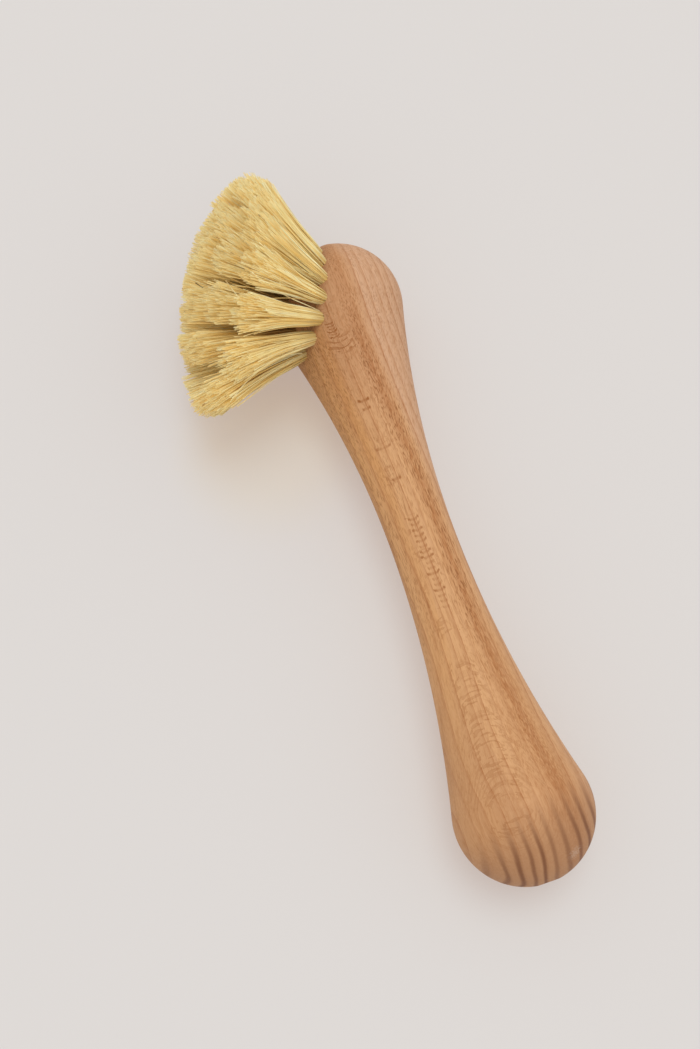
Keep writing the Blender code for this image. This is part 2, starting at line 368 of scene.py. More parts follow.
def clingTogether(across, along, chance):
    # fibres cling together towards their tips: each one leans to the nearest of a few,
    # and takes a share of its tint from it
    shape = fibreShape
    count = len(across)
    heads = chance.choice(count, shape["clumps"], replace=False)
    apart = np.hypot(across[:, None] - across[heads], along[:, None] - along[heads])
    clump = np.argmin(apart, axis=1)
    pull = shape["clumpPull"]
    tipAcross = across + (across[heads][clump] - across) * pull
    tipAlong = along + (along[heads][clump] - along) * pull
    tints = chance.random(shape["clumps"])[clump]
    tints += (chance.random(count) - tints) * (1 - shape["clumpTint"])
    loose = chance.normal(0, shape["clumpScatter"], (shape["clumps"], 2))[clump]
    loose += chance.normal(0, shape["fibreScatter"], (count, 2))
    return tipAcross + loose[:, 0], tipAlong + loose[:, 1], tints


def fibreEnds(ring, turn, across, tipAcross, tipAlong, chance):
    # ends lie on the trimming sphere, or a little short of it, in the frame of the
    # tuft's own hole. They lean and reach further towards the butt, and a few stray
    shape = fibreShape
    count = len(across)
    over = ring["place"] / faceShape["domeRadius"]
    outermost = ring["place"] / tuftRings["outer"]["place"]
    facingButt = float(faceTurn[:, 0] @ turn[:, 0])
    atButt, atHead = max(0.0, facingButt)**2, max(0.0, -facingButt)**2
    endOver = (over * faceShape["endSpread"]
               + outermost * (shape["buttLean"] * atButt - shape["headTuck"] * atHead))
    aim = np.array((math.sin(endOver), 0, math.cos(endOver))) * shape["trimRadius"]
    aim = aim + np.outer(tipAcross * ring["halfDepth"],
                         (math.cos(endOver), 0, -math.sin(endOver)))
    aim = aim + np.outer(tipAlong * ring["halfWidth"], (0, 1, 0))
    short = np.abs(chance.normal(0, shape["lengthSpread"], count))
    lengths = shape["trimRadius"] * (1 - short)
    lengths *= 1 - ring["cornerCut"] * np.maximum(across, 0)**2
    lengths *= 1 - ring["shorter"] + outermost**2 * (shape["longerAtButt"] * atButt
                                                     + shape["longerAtHead"] * atHead**2)
    end = (unit(aim) * lengths[:, None] + (0, 0, domeToTrim)) @ turnOver(over)

    strays = chance.random(count) < shape["strayShare"]
    reach = np.clip(chance.normal(0, shape["strayReach"], (count, 2)),
                    -shape["strayMost"], shape["strayMost"])
    reach[:, 0] = -np.abs(reach[:, 0])
    end[:, :2] += strays[:, None] * reach
    return end


def fibreLines(ring, turn, chance):
    # a fibre's line is a quadratic curve from its seat in the hole to its place in the
    # fan, plus a wave that grows towards the tip. Seats and places fill their ovals in
    # the same sunflower order, so neighbours stay neighbours
    shape = fibreShape
    count = shape["count"]
    order = np.arange(count)
    golden = math.pi * (3 - math.sqrt(5))
    spread = np.sqrt((order + 0.5) / count)
    turns = order * golden + chance.normal(0, shape["seatScatter"], count)
    across, along = spread * np.cos(turns), spread * np.sin(turns)
    tipAcross, tipAlong, tints = clingTogether(across, along, chance)
    end = fibreEnds(ring, turn, across, tipAcross, tipAlong, chance)
    seatRadius = faceShape["holeRadius"] - shape["radius"]
    depth = faceShape["domeRadius"] - shape["rootDepth"]
    seat = np.stack((across * seatRadius, along * seatRadius, np.full(count, depth)), -1)

    handle = seat + (end - seat) * shape["flareShare"]
    handle[:, 2] = (seat[:, 2] + end[:, 2]) / 2
    t = np.linspace(0, 1, shape["steps"] + 1)[None, :, None]
    lines = (seat[:, None] * (1 - t)**2 + 2 * handle[:, None] * t * (1 - t)
             + end[:, None] * t**2)
    swell = np.sin(math.pi * np.clip(t * shape["swellRate"], 0, 1)) * shape["swell"]
    lines[..., :2] += np.stack((across, along), -1)[:, None] * swell

    phase = chance.random((count, 1, 2)) * math.tau
    speed = chance.uniform(*shape["waveTurns"], (count, 1, 2))
    size = np.abs(chance.normal(0, shape["wave"], (count, 1, 2)))
    lines[..., :2] += np.sin(speed * t + phase) * size * t**shape["waveGrowth"]

    # the way out of the bundle and of the whole fan, for shading. Light comes through
    # thin fibres, so the ones that face the table are shaded as if turned up
    outward, rise = shape["outwardLean"]
    out = unit(np.stack((across + outward, along, np.full(count, rise)), -1) @ turn.T)
    least, more = shape["upwardLean"]
    out[:, 2] = least + more * np.abs(out[:, 2])

    # no fibre goes through the table, and those that reach it pile up a little
    lines = lines @ turn.T + domeMiddle
    height = lines[..., 2]
    lowest = shape["radius"] + shape["floorGap"]
    lowest = lowest + shape["floorPile"] * np.maximum(height, 0)
    lines[..., 2] = np.maximum(height, lowest)
    lines[..., 0] = np.maximum(lines[..., 0], cadLow[0] - shape["pastSolids"])
    # the last is how deep a fibre lies, plus the hidden share, which sets its painted
    # shade
    return lines, unit(out), tints, 1 - spread + ring["hidden"]


def fibreTubes(name, lines, outwards, tints, insides, chance, material):
    # each line becomes a thin tube of few sides, square to the line's own direction. The
    # shading normals lean out of the bundle, so that it is lit as one soft surface
    shape = fibreShape
    count, steps = lines.shape[:2]
    sides = shape["sides"]
    way = unit(np.gradient(lines, axis=1))
    sideways = unit(np.cross(way, shape["crossWay"]))
    upwards = np.cross(way, sideways)
    t = np.linspace(0, 1, steps)
    thick = shape["radius"] + (shape["tipRadius"] - shape["radius"]) * t
    thick = thick[None, :] * chance.uniform(*shape["thickness"], (count, 1))
    corner = (np.arange(sides) / sides * math.tau)[None, None, :]
    corner = corner + chance.random((count, 1, 1)) * math.tau
    normals = (np.cos(corner)[..., None] * sideways[:, :, None]
               + np.sin(corner)[..., None] * upwards[:, :, None])
    points = lines[:, :, None] + thick[:, :, None, None] * normals
    index = np.arange(count * steps * sides).reshape(count, steps, sides)
    after = np.roll(index, -1, axis=2)
    quads = np.stack((index[:, :-1], after[:, :-1], after[:, 1:], index[:, 1:]), -1)
    caps = np.concatenate((index[:, 0, ::-1], index[:, -1]))
    mesh = meshFrom(name, points.reshape(-1, 3), quads.reshape(-1, 4), caps, material)
    share = shape["outwardShare"]
    normals = unit(normals * (1 - share) + outwards[:, None, None] * share)
    mesh.normals_split_custom_set_from_vertices(normals.reshape(-1, 3))
    each = steps * sides
    for word, values in (("tint", np.repeat(tints, each)),
                         ("inside", np.repeat(insides, each)),
                         ("along", np.tile(np.repeat(t, sides), count))):
        layer = mesh.attributes.new(word, "FLOAT", "POINT")
        layer.data.foreach_set("value", values.astype(np.float32))
    return mesh


def makeTufts(material):
    chance = np.random.default_rng(fibreShape["seed"])
    faces = 0
    for node, ring, turn in tuftPlaces():
        lines, outwards, tints, insides = fibreLines(ring, turn, chance)
        name = node + "_fibres"
        mesh = fibreTubes(name, lines, outwards, tints, insides, chance, material)
        piece = placeInScene(name, mesh)
        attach(piece, "root")
        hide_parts(node)
        faces += len(mesh.polygons)
    print("brush: tufts made,", faces, "faces")


# Loose strands over the tufts, each with its tint. Their points are millimetres in the
# face's frame: towards the butt, across and out along the face's axis.
looseStrands = {
    "unit": 0.001,
    "steps": 28,
    "strands": (
        (0.05, ((22.5, 10.7, 35.4), (26.4, 10.1, 40.5), (31.7, 8.8, 45.3),
                (36.4, 7.6, 50.0), (40.1, 7.0, 52.5), (44.0, 2.1, 54.7))),
        (0.10, ((24.5, 9.0, 34.5), (27.9, 8.8, 41.5), (32.5, 7.6, 46.8),
                (35.0, 4.5, 51.0))),
        (0.00, ((9.5, 30.1, 49.8), (12.4, 28.9, 50.0), (14.8, 27.1, 49.3))),
        (0.02, ((11.4, 30.3, 49.8), (10.7, 28.9, 46.8), (10.1, 24.7, 41.3))),
        (0.08, ((12.2, 19.1, 64.3), (18.8, 21.7, 60.5), (22.9, 24.3, 57.9))),
        (0.04, ((30.2, 23.3, 57.3), (25.8, 21.5, 50.3), (19.4, 16.0, 39.7))),
        (1.00, ((8.5, 8.4, 70.8), (11.2, 11.6, 70.6), (13.8, 14.5, 69.9))),
    ),
}


def makeLooseStrands(material):
    # each strand is a cubic through its points, or a square where it has only three
    chance = np.random.default_rng(fibreShape["seed"])
    t = np.linspace(0, 1, looseStrands["steps"])
    lines, tints = [], []
    for tint, points in looseStrands["strands"]:
        points = np.array(points) * looseStrands["unit"]
        places = np.linspace(0, 1, len(points))
        fits = np.polyfit(places, points, min(3, len(points) - 1))
        line = np.stack([np.polyval(fits[:, axis], t) for axis in range(3)], -1)
        lines.append(line @ faceTurn.T + domeMiddle)
        tints.append(tint)
    upwards = np.tile((0.0, 0.0, 1.0), (len(lines), 1))
    mesh = fibreTubes("loose_strands", np.array(lines), upwards, np.array(tints),
                      np.zeros(len(lines)), chance, material)
    piece = placeInScene("loose_strands", mesh)
    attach(piece, "root")
    print("brush: loose strands laid,", len(lines))


# materials

def newMaterial(name):
    material = bpy.data.materials.new(name)
    material.use_nodes = True
    tree = material.node_tree
    return material, tree, tree.nodes["Principled BSDF"]


def feed(tree, socket, value):
    if isinstance(value, bpy.types.NodeSocket):
        tree.links.new(value, socket)
    elif value is not None:
        socket.default_value = value


def setSurface(tree, shader, colour, roughness, specular=0.5):
    for name, given in (("Base Color", colour), ("Roughness", roughness),
                        ("Specular IOR Level", specular)):
        feed(tree, shader.inputs[name], given)


def maths(tree, operation, first, second=None, third=None):
    node = tree.nodes.new("ShaderNodeMath")
    node.operation = operation
    for socket, value in zip(node.inputs, (first, second, third)):
        feed(tree, socket, value)
    return node.outputs[0]


def plus(tree, total, *others):
    for other in others:
        total = maths(tree, "ADD", total, other)
    return total


def times(tree, product, *others):
    for other in others:
        product = maths(tree, "MULTIPLY", product, other)
    return product


def ramp(tree, value, low, high, toLow=0.0, toHigh=1.0):
    node = tree.nodes.new("ShaderNodeMapRange")
    node.interpolation_type = "SMOOTHSTEP"
    for socket, given in zip(node.inputs, (value, low, high, toLow, toHigh)):
        feed(tree, socket, given)
    return node.outputs[0]


def window(tree, value, low, high, soft):
    # 1 between low and high, and 0 outside them
    return times(tree, ramp(tree, value, low - soft, low + soft),
                 ramp(tree, value, high - soft, high + soft, 1.0, 0.0))


def mixed(tree, share, first, second):
    node = tree.nodes.new("ShaderNodeMix")
    node.data_type = "RGBA"
    feed(tree, node.inputs[0], share)
    feed(tree, node.inputs[6], first)
    feed(tree, node.inputs[7], second)
    return node.outputs[2]


def mixedShader(tree, share, first, second):
    node = tree.nodes.new("ShaderNodeMixShader")
    for socket, given in zip(node.inputs, (share, first, second)):
        tree.links.new(given, socket)
    return node.outputs[0]


def noise(tree, vector, sizes, detail=2.0, roughness=0.5):
    # sizes are how far the pattern runs each way, in metres, per unit of the texture
    stretched = tree.nodes.new("ShaderNodeMapping")
    feed(tree, stretched.inputs["Vector"], vector)
    stretched.inputs["Scale"].default_value = [1 / size for size in sizes]
    node = tree.nodes.new("ShaderNodeTexNoise")
    for name, given in (("Vector", stretched.outputs[0]), ("Scale", 1.0),
                        ("Detail", detail), ("Roughness", roughness)):
        feed(tree, node.inputs[name], given)
    return node.outputs["Fac"]


def whimOf(tree, counted):
    # a random number from 0 to 1 for each whole number of counted
    node = tree.nodes.new("ShaderNodeTexWhiteNoise")
    node.noise_dimensions = "1D"
    feed(tree, node.inputs["W"], maths(tree, "FLOOR", counted))
    return node.outputs["Value"]


def distanceTo(tree, vector, place):
    node = tree.nodes.new("ShaderNodeVectorMath")
    node.operation = "DISTANCE"
    feed(tree, node.inputs[0], vector)
    feed(tree, node.inputs[1], place)
    return node.outputs["Value"]


def partsOf(tree, vector):
    node = tree.nodes.new("ShaderNodeSeparateXYZ")
    feed(tree, node.inputs[0], vector)
    return node.outputs


def spotOf(tree):
    return tree.nodes.new("ShaderNodeTexCoord").outputs


# Beech: colours are linear, lengths in metres, measured from the head's middle in a
# frame that the ray turn swings about the handle's axis. The rings lean from square to
# the rays, and the slope sets the fibre a little off the handle. Rows of four numbers
# are ramps: from, to, and the values there, which are 0 and 1 where two are given.
# Textures are how far a noise runs across the rings, along the grain and through, its
# detail and its roughness.
# Bands lie across the rings: from, to, edge softness, colour and strength. Drifts are
# where along the grain the rings wander sideways, and how far. The cheek is a darker
# flank near the butt. Opening is where the bands and the rings spread apart.
# Rays are thin leaves: their sizes as a texture's, two noise limits, a strength, how
# square to them the surface lies, and whether they show only where the rings open.
# Gatherings are where along the grain they crowd, and half how far.
# Ladders are rays cut one above the other where the wood runs straight: from and to
# along the grain, middle and half width across, step, a rung's thickness and strength.
beechLook = {
    "pale": (0.585, 0.300, 0.138, 1),
    "deep": (0.54, 0.275, 0.125, 1),
    "rosy": (0.40, 0.145, 0.040, 1),
    "golden": (0.66, 0.305, 0.085, 1),
    "olive": (0.67, 0.335, 0.112, 1),
    "pink": (0.67, 0.405, 0.25, 1),
    "line": (0.29, 0.108, 0.030, 1),
    "streak": (0.48, 0.215, 0.080, 1),
    "lit": (0.72, 0.40, 0.20, 1),
    "ray": (0.34, 0.120, 0.028, 1),
    "amber": (0.70, 0.385, 0.172, 1),
    "butt": (0.43, 0.212, 0.100, 1),
    "endGrain": (0.235, 0.092, 0.036, 1),
    # the colour of a painted sheen
    "paintedSheen": (0.62, 0.49, 0.40, 1),
    "textures": {
        "sway": ((0.012, 0.09, 0.012), 3.0, 0.6),
        "ragged": ((0.0005, 0.008, 0.0005), 3.0, 0.6),
        "dashes": ((0.0005, 0.0040, 0.0005), 1.0, 0.6),
        "mottle": ((0.005, 0.05, 0.005), 4.0, 0.6),
        "streaks": ((0.0009, 0.030, 0.0009), 3.0, 0.65),
        "bend": ((0.016, 0.12, 0.03), 2.0, 0.5),
        "pores": ((0.00026, 0.0026, 0.00026), 0.0, 0.5),
        "zones": ((0.006, 0.010, 0.003), 2.0, 0.5),
    },
    "rayTurn": math.radians(-16),
    "ringLean": math.tan(math.radians(21)),
    "grainSlope": math.radians(0.5),
    "rest": 0.0038,
    "drifts": ((-0.075, -0.010, 0.0, 0.0043), (-0.185, -0.145, 0.0, 0.0018)),
    "opening": (-0.165, -0.100, 1.0, 0.0),
    "bandsOpen": 1.0,
    "ringsOpen": 0.3,
    "bands": ((-0.0400, -0.0126, 0.0012, "olive", 0.7),
              (-0.0124, -0.0086, 0.0008, "golden", 0.45),
              (-0.0113, -0.0105, 0.0004, "rosy", 0.3),
              (-0.0051, -0.0048, 0.0003, "rosy", 0.6),
              (-0.0014, -0.0010, 0.0003, "rosy", 0.5),
              (-0.0006, 0.0046, 0.0012, "rosy", 0.38),
              (0.0008, 0.0028, 0.0007, "rosy", 0.7),
              (0.0060, 0.0400, 0.0026, "pink", 0.8)),
    "bandSway": 0.0010,
    "bandRagged": 0.0006,
    "mottled": (0.38, 0.72, 0.0, 0.4),
    "amberHead": (-0.060, -0.02, 0.75, 0.0),
    "amberButt": (-0.18, -0.15, 0.3, 1.0),
    "rosyBroken": (0.34, 0.6, 0.4, 1.0),
    "rosyAtCrown": (-0.026, -0.002, 1.0, 0.35),
    "othersPaler": (-0.095, -0.050, 0.45, 1.0),
    "cheek": ((-0.0300, -0.0048, 0.0002), (-0.160, -0.125, 0.55, 0.0)),
    "darkStreaks": (0.50, 0.68, 0.0, 0.5),
    "paleStreaks": (0.32, 0.48, 0.3, 0.0),
    "pith": 0.16,
    "ringWidth": 0.0031,
    "ringBend": 0.005,
    "ringRagged": 0.0003,
    "lateSharpness": 8.0,
    "lateWhim": (0, 1, 0.35, 0.95),
    "lateBroken": (0.3, 0.65, 0.6, 1.1),
    "ringShade": (0.2, 1.0, 0.0, 0.3),
    "poreShare": (0.56, 0.66, 0.0, 0.95),
    "poresBeside": (-0.0010, 0.0045, 0.002),
    "poresOnFlank": (-0.0150, -0.0080, 0.45, 0.0),
    "poresCrowd": 0.65,
    "poresMottled": (0.35, 0.7, 0.2, 0.6),
    "poresAlong": (-0.140, -0.090, 0.35, 0.85),
    "rays": (((0.0090, 0.0013, 0.00026), 0.59, 0.64, 0.8, (0.88, 0.96), False),
             ((0.0200, 0.0060, 0.00030), 0.62, 0.66, 0.55, (0.6, 0.85), True)),
    "rayHearts": (0.06, 0.65),   # this far past the upper limit, a leaf pales to this
    "rayZones": (0.5, 0.62, 0.0, 0.45),
    "gatherings": ((-0.0190, 0.0030), (-0.148, 0.022), (-0.184, 0.011)),
    "crowdSoft": 0.002,
    "raysPaler": (-0.135, -0.110, 0.5, 1.0),
    "ladders": (((-0.0163, -0.0112), (-0.0016, 0.0016), 0.00092, 0.00034, 1.8),
                ((-0.0420, -0.0365), (-0.0012, 0.0024), 0.00280, 0.00075, 1.5),
                ((-0.0545, -0.0510), (-0.0005, 0.0024), 0.00350, 0.00080, 0.7),
                ((-0.0675, -0.0640), (-0.0001, 0.0026), 0.00350, 0.00085, 1.5),
                ((-0.1090, -0.0770), (0.0005, 0.0020), 0.00185, 0.00066, 0.85)),
    "ladderSoft": 0.0004,
    "ladderSquare": (0.7, 0.9),
    "rungCore": 0.2,
    "rungBow": 0.0006,
    "rungWander": 0.0005,
    "rungSway": (0, 1, -0.5, 0.5),
    "rungWidths": (0, 1, 0.6, 1.15),
    "rungEnds": (0.2, 0.8, 0.45, 1.0),
    "rungStops": (0.85, 1.05, 1.0, 0.0),
    "rungWhim": (0, 1, 0.55, 1.0),
    "nearBall": (-0.172, -0.150, 1.0, 0.0),
    "endTurn": (0.24, -0.95),   # shares of the way a surface faces, in X and Y
    "endways": (-0.15, 0.62),
    "endShare": 0.7,
    "endLineMiddle": 0.68,
    "endLine": (0.04, 0.30, 1.0, 0.0),
    "endWhim": (0.0, 0.6, 0.5, 1.0),
    # a pale spot near the butt, a painted sheen
    "sheenSpot": (0.0249, -0.1160, 0.0331),
    "sheenFade": (0.00024, 0.0024, 0.35, 0.0),
    "sheenRagged": (0.3, 0.7, -0.001, 0.001),
    "roughness": (0.3, 0.8, 0.54, 0.74),
    "specular": 0.3,
    "lateRelief": 0.3,
    "bump": 0.3,
    "bumpHeight": 0.00008,
}


def grainOf(tree):
    # what the pattern is read from: the place in the grain's own frame, the way that
    # the surface faces, and the textures
    look = beechLook
    spot = spotOf(tree)
    centred = tree.nodes.new("ShaderNodeMapping")
    centred.vector_type = "TEXTURE"
    centred.inputs["Location"].default_value = headMiddle
    centred.inputs["Rotation"].default_value = (0, look["rayTurn"], look["grainSlope"])
    tree.links.new(spot["Object"], centred.inputs["Vector"])
    wood = {"spot": spot["Object"], "grain": centred.outputs[0],
            "facing": partsOf(tree, spot["Normal"])}
    wood["across"], wood["along"], wood["upwards"] = partsOf(tree, wood["grain"])
    for name, (sizes, detail, roughness) in look["textures"].items():
        wood[name] = noise(tree, wood["grain"], sizes, detail, roughness)
    leaning = times(tree, wood["upwards"], look["ringLean"])
    sideways = maths(tree, "SUBTRACT", wood["across"], leaning)
    sideways = maths(tree, "SUBTRACT", sideways, look["rest"])
    drifts = [ramp(tree, wood["along"], *drift) for drift in look["drifts"]]
    wood["sideways"] = plus(tree, sideways, *drifts)
    wood["opening"] = ramp(tree, wood["along"], *look["opening"])
    wood["crown"] = ramp(tree, wood["along"], *look["rosyAtCrown"])
    return wood


def openedBy(tree, wood, share):
    # the place across the rings, drawn together where they spread apart
    return maths(tree, "DIVIDE", wood["sideways"],
                 maths(tree, "MULTIPLY_ADD", wood["opening"], share, 1.0))


def bandedColour(tree, wood):
    # broad bands of colour lie where the growth rings do, with ragged edges, and fine
    # streaks run along the grain, darker and lighter
    look = beechLook
    swayed, ragged = look["bandSway"], look["bandRagged"]
    place = plus(tree, openedBy(tree, wood, look["bandsOpen"]),
                 ramp(tree, wood["sway"], 0, 1, -swayed, swayed),
                 ramp(tree, wood["ragged"], 0, 1, -ragged, ragged))
    wood["place"] = place
    colour = mixed(tree, ramp(tree, wood["mottle"], *look["mottled"]), look["pale"],
                   look["deep"])
    amber = times(tree, ramp(tree, wood["along"], *look["amberHead"]),
                  ramp(tree, wood["along"], *look["amberButt"]))
    colour = mixed(tree, amber, colour, look["amber"])
    broken = ramp(tree, wood["dashes"], *look["rosyBroken"])
    fading = ramp(tree, wood["along"], *look["othersPaler"])
    for low, high, soft, name, strength in look["bands"]:
        limits = (broken, wood["crown"]) if name == "rosy" else (fading,)
        share = times(tree, window(tree, place, low, high, soft), strength, *limits)
        colour = mixed(tree, share, colour, look[name])
    band, nearButt = look["cheek"]
    cheek = times(tree, window(tree, place, *band), ramp(tree, wood["along"], *nearButt))
    colour = mixed(tree, cheek, colour, look["deep"])
    darker = ramp(tree, wood["streaks"], *look["darkStreaks"])
    paler = ramp(tree, wood["streaks"], *look["paleStreaks"])
    return mixed(tree, paler, mixed(tree, darker, colour, look["streak"]), look["lit"])


def ringedColour(tree, wood, colour):
    # growth rings are cylinders about the pith, bent a little by slow noise. Each one
    # darkens slowly and ends in a thin line
    look = beechLook
    away = plus(tree, openedBy(tree, wood, look["ringsOpen"]), look["pith"])
    squares = plus(tree, times(tree, away, away),
                   times(tree, wood["upwards"], wood["upwards"]))
    distance = plus(tree, maths(tree, "SQRT", squares),
                    times(tree, wood["bend"], look["ringBend"]),
                    times(tree, wood["ragged"], look["ringRagged"]))
    counted = maths(tree, "DIVIDE", distance, look["ringWidth"])
    wood["ringWhim"] = whimOf(tree, counted)
    wood["withinRing"] = maths(tree, "FRACT", counted)
    sharp = maths(tree, "POWER", wood["withinRing"], look["lateSharpness"])
    wood["lateWood"] = times(tree, sharp, ramp(tree, wood["ringWhim"], *look["lateWhim"]),
                             ramp(tree, wood["dashes"], *look["lateBroken"]))
    colour = mixed(tree, ramp(tree, wood["withinRing"], *look["ringShade"]), colour,
                   look["deep"])
    return mixed(tree, wood["lateWood"], colour, look["rosy"])


def poresOf(tree, wood):
    # fine dark dashes along the grain, dense beside the rosy band and on the far flank
    look = beechLook
    beside = window(tree, wood["place"], *look["poresBeside"])
    crowd = plus(tree, times(tree, beside, wood["crown"]),
                 ramp(tree, wood["place"], *look["poresOnFlank"]))
    crowd = maths(tree, "MULTIPLY_ADD", crowd, look["poresCrowd"],
                  ramp(tree, wood["mottle"], *look["poresMottled"]))
    return times(tree, ramp(tree, wood["pores"], *look["poreShare"]), crowd,
                 ramp(tree, wood["along"], *look["poresAlong"]))


def ladderOf(tree, wood, middle, half, step, thick):
    # rungs lie a step apart along the grain. Each bends a little, is darker towards its
    # ends, and has its own strength and width
    look = beechLook
    off = maths(tree, "DIVIDE", maths(tree, "SUBTRACT", wood["across"], middle), half)
    off = plus(tree, off, ramp(tree, wood["sway"], *look["rungSway"]))
    off = maths(tree, "ABSOLUTE", off)
    wander = look["rungWander"] / step
    counted = plus(tree, maths(tree, "DIVIDE", wood["along"], step),
                   times(tree, off, off, -look["rungBow"] / step),
                   ramp(tree, wood["ragged"], 0, 1, -wander, wander))
    whim = whimOf(tree, counted)
    fromLine = maths(tree, "SUBTRACT", maths(tree, "FRACT", counted), 0.5)
    fromLine = maths(tree, "ABSOLUTE", fromLine)
    reach = maths(tree, "DIVIDE", off, ramp(tree, whim, *look["rungWidths"]))
    core = look["rungCore"] * thick / step
    return times(tree, ramp(tree, fromLine, core, thick / step, 1.0, 0.0),
                 ramp(tree, reach, *look["rungEnds"]),
                 ramp(tree, reach, *look["rungStops"]),
                 ramp(tree, whim, *look["rungWhim"]))


def raysOf(tree, wood):
    # where the surface runs with the rays they come out as arcs, and they gather in
    # places. The ladders lie over them
    look = beechLook
    along, facing, turn = wood["along"], wood["facing"], look["rayTurn"]
    square = plus(tree, times(tree, facing[0], math.sin(turn)),
                  times(tree, facing[2], math.cos(turn)))
    past, least = look["rayHearts"]
    rays = 0.0
    for sizes, low, high, strength, limits, whereOpen in look["rays"]:
        field = noise(tree, wood["grain"], sizes, 0.0)
        leaf = times(tree, ramp(tree, field, low, high, 0.0, strength),
                     ramp(tree, field, high, high + past, 1.0, least),
                     ramp(tree, square, *limits))
        if whereOpen:
            leaf = times(tree, leaf, wood["opening"])
        rays = maths(tree, "MAXIMUM", leaf, rays)
    zones = ramp(tree, wood["zones"], *look["rayZones"])
    for middle, half in look["gatherings"]:
        crowded = window(tree, along, middle - half, middle + half, look["crowdSoft"])
        zones = maths(tree, "MAXIMUM", zones, crowded)
    zones = times(tree, zones, ramp(tree, along, *look["raysPaler"]))
    rays = times(tree, rays, zones)
    for (low, high), (middle, half), step, thick, strength in look["ladders"]:
        rungs = times(tree, ladderOf(tree, wood, middle, half, step, thick),
                      window(tree, along, low, high, look["ladderSoft"]),
                      ramp(tree, square, *look["ladderSquare"], 0.0, strength))
        rays = maths(tree, "MAXIMUM", rays, rungs)
    return rays


def endColour(tree, wood, colour):
    # end grain drinks more oil: it is darker, and its rings stand out as soft bands. The
    # darkening is tilted to fall more on the side that faces +X
    look = beechLook
    toSide, toEnd = look["endTurn"]
    endWay = maths(tree, "MULTIPLY_ADD", wood["facing"][0], toSide,
                   times(tree, wood["facing"][1], toEnd))
    endways = times(tree, ramp(tree, endWay, *look["endways"]),
                    ramp(tree, wood["along"], *look["nearBall"]))
    colour = mixed(tree, times(tree, endways, look["endShare"]), colour, look["butt"])
    offMiddle = maths(tree, "SUBTRACT", wood["withinRing"], look["endLineMiddle"])
    offMiddle = maths(tree, "ABSOLUTE", offMiddle)
    lines = times(tree, ramp(tree, offMiddle, *look["endLine"]),
                  ramp(tree, wood["ringWhim"], *look["endWhim"]), endways)
    return mixed(tree, lines, colour, look["endGrain"])


def beechMaterial():
    look = beechLook
    material, tree, shader = newMaterial("beech")
    wood = grainOf(tree)
    colour = ringedColour(tree, wood, bandedColour(tree, wood))
    pores = poresOf(tree, wood)
    colour = mixed(tree, pores, colour, look["line"])
    rays = raysOf(tree, wood)
    colour = endColour(tree, wood, mixed(tree, rays, colour, look["ray"]))

    # a small soft sheen near the butt, painted pale
    fromSheen = plus(tree, distanceTo(tree, wood["spot"], look["sheenSpot"]),
                  ramp(tree, wood["pores"], *look["sheenRagged"]))
    colour = mixed(tree, ramp(tree, fromSheen, *look["sheenFade"]), colour, look["paintedSheen"])
    rough = ramp(tree, wood["pores"], *look["roughness"])
    setSurface(tree, shader, colour, rough, look["specular"])

    height = maths(tree, "SUBTRACT", times(tree, wood["lateWood"], look["lateRelief"]),
                   maths(tree, "MAXIMUM", pores, rays))
    bump = tree.nodes.new("ShaderNodeBump")
    bump.inputs["Strength"].default_value = look["bump"]
    bump.inputs["Distance"].default_value = look["bumpHeight"]
    tree.links.new(height, bump.inputs["Height"])
    tree.links.new(bump.outputs[0], shader.inputs["Normal"])
    return material


# Plant fibre: pale straw with some golden and a few brown strands, with shade painted
# inside a bundle and at the root. Tints are shares of the strands, from 0 to 1. A share
# of the light goes through a fibre's wall, and it is warmer for it.
fibreLook = {
    "straw": (1.0, 0.81, 0.36, 1),
    "cream": (1.0, 0.93, 0.56, 1),
    "gold": (1.0, 0.66, 0.20, 1),
    # shade is painted shade inside the bundles and at the roots, and also dims some
    # strands at random. Brown is both real brown strands and painted shade deep in the
    # bundles
    "shade": (0.52, 0.30, 0.075, 1),
    "brown": (0.25, 0.095, 0.022, 1),
    "dark": (0.02, 0.016, 0.014, 1),
    "strawTints": (0.05, 0.5),
    "goldTints": (0.60, 0.80, 0.0, 0.7),
    "shadeTints": (0.77, 0.87, 0.0, 0.85),
    "brownTints": (0.93, 0.96, 0.0, 0.7),
    "darkTints": (0.994, 0.998),
    "patchSizes": (0.004, 0.004, 0.004),
    "goldPatches": (0.45, 0.75, 0.0, 0.2),
    "paintedShadeInside": (0.1, 0.8, 0.0, 0.7),
    "shadeAlong": (0.40, 0.85, 1.0, 0.12),
    "paintedShadeAtRoot": (0.02, 0.35, 0.6, 0.0),
    "deepShadeInside": (0.4, 1.1, 0.0, 0.8),
    "deepShadeAlong": (0.30, 0.75, 1.0, 0.1),
    "paleTips": (0.6, 1.0, 0.0, 0.15),
    "roughness": (0.2, 0.8, 0.47, 0.67),
    "specular": 0.2,
    "throughShare": 0.945,
    "throughColour": (1.0, 0.90, 0.66, 1),
}


def attributeOf(tree, name):
    node = tree.nodes.new("ShaderNodeAttribute")
    node.attribute_name = name
    return node.outputs["Fac"]


